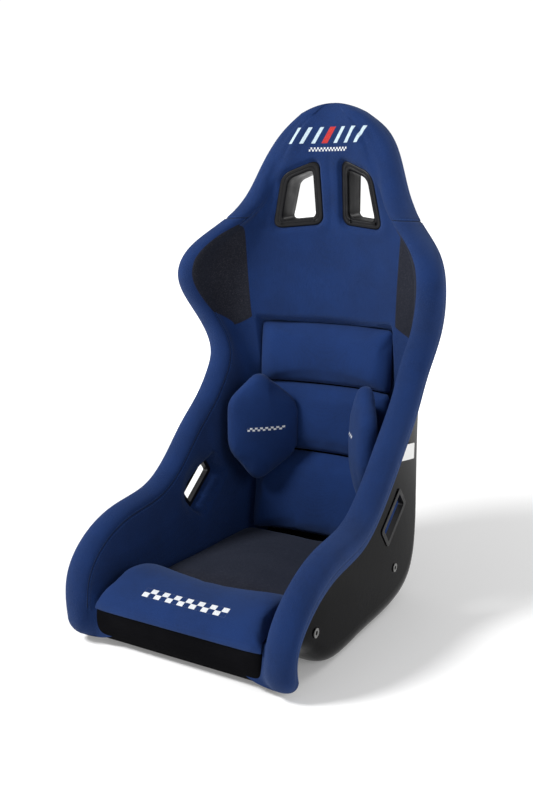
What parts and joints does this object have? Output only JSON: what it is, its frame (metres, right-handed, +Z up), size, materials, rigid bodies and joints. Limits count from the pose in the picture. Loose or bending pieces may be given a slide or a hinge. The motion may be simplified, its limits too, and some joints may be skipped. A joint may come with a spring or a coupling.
{
  "type": "racing bucket seat",
  "caption": "High-sided racing bucket seat: glossy shell, padded bolsters, shoulder wings and headrest with strap openings, loose seat, back and side pads.",
  "frame": {"origin": "on the flat underside, in the middle plane, midway between the front and rear side-mount holes", "axes": "+Z up, X across the seat (symmetric), the seat faces -Y; the floor face points along -Z"},
  "size_m": [0.522, 0.5747, 0.8735],
  "materials": {
    "shell_gloss_black": "glossy black gel coat over glass fibre",
    "cover_blue": "blue knitted fabric over foam",
    "cover_charcoal": "charcoal grip fabric",
    "cover_black": "black fabric over foam",
    "bezel_black": "satin black moulded plastic",
    "steel": "zinc-plated",
    "fastener_black": "hook-and-loop tape",
    "label_white": "blank white film"
  },
  "bodies": {
    "shell": {"shell": "shell_gloss_black", "thigh_bolster_left": "cover_blue", "thigh_bolster_right": "cover_blue", "hip_bolster_left": "cover_blue", "hip_bolster_right": "cover_blue", "wing_bolster_left": "cover_blue", "wing_bolster_right": "cover_blue", "headrest_pad": "cover_blue", "crown_pad": "cover_blue", "upper_back_pad": "cover_blue", "grip_panel_left": "cover_charcoal", "grip_panel_right": "cover_charcoal", "front_band": "cover_black", "seat_base_foam": "cover_black", "strap_bezel_front_left": "bezel_black", "strap_bezel_front_right": "bezel_black", "strap_bezel_rear_left": "bezel_black", "strap_bezel_rear_right": "bezel_black", "lap_bezel_inner_left": "bezel_black", "lap_bezel_inner_right": "bezel_black", "lap_bezel_outer_left": "bezel_black", "lap_bezel_outer_right": "bezel_black", "crotch_bezel": "bezel_black", "mount_plate_left": "steel", "mount_plate_right": "steel", "mount_bushes_left": "steel", "mount_bushes_right": "steel", "strap_bezel_screws_left": "steel", "strap_bezel_screws_right": "steel", "back_hook_strips": "fastener_black", "seat_hook_strips": "fastener_black", "blank_label": "label_white"},
    "seat_cushion": {"seat_cushion": "cover_charcoal", "thigh_cushion": "cover_blue", "seat_loop_strips": "fastener_black"},
    "back_cushion": {"lumbar_cushion_lower": "cover_blue", "lumbar_cushion_middle": "cover_blue", "lumbar_cushion_upper": "cover_blue", "back_loop_strips": "fastener_black", "side_pad_hook_left": "fastener_black", "side_pad_hook_right": "fastener_black"},
    "left_side_pad": {"side_pad_left": "cover_blue", "side_pad_loop_left": "fastener_black"},
    "right_side_pad": {"side_pad_right": "cover_blue", "side_pad_loop_right": "fastener_black"}
  },
  "joints": [
    {"name": "seat_cushion_lift", "type": "slide", "parent": "shell", "child": "seat_cushion", "axis": [0, -0.7071, 0.7071], "range_m": [0, 0.8]},
    {"name": "back_cushion_lift", "type": "slide", "parent": "shell", "child": "back_cushion", "axis": [0, -0.9848, 0.1736], "range_m": [0, 0.55]},
    {"name": "left_side_pad_lift", "type": "slide", "parent": "back_cushion", "child": "left_side_pad", "axis": [0, -0.9848, 0.1736], "range_m": [0, 0.4]},
    {"name": "right_side_pad_lift", "type": "slide", "parent": "back_cushion", "child": "right_side_pad", "axis": [0, -0.9848, 0.1736], "range_m": [0, 0.4]}
  ]
}
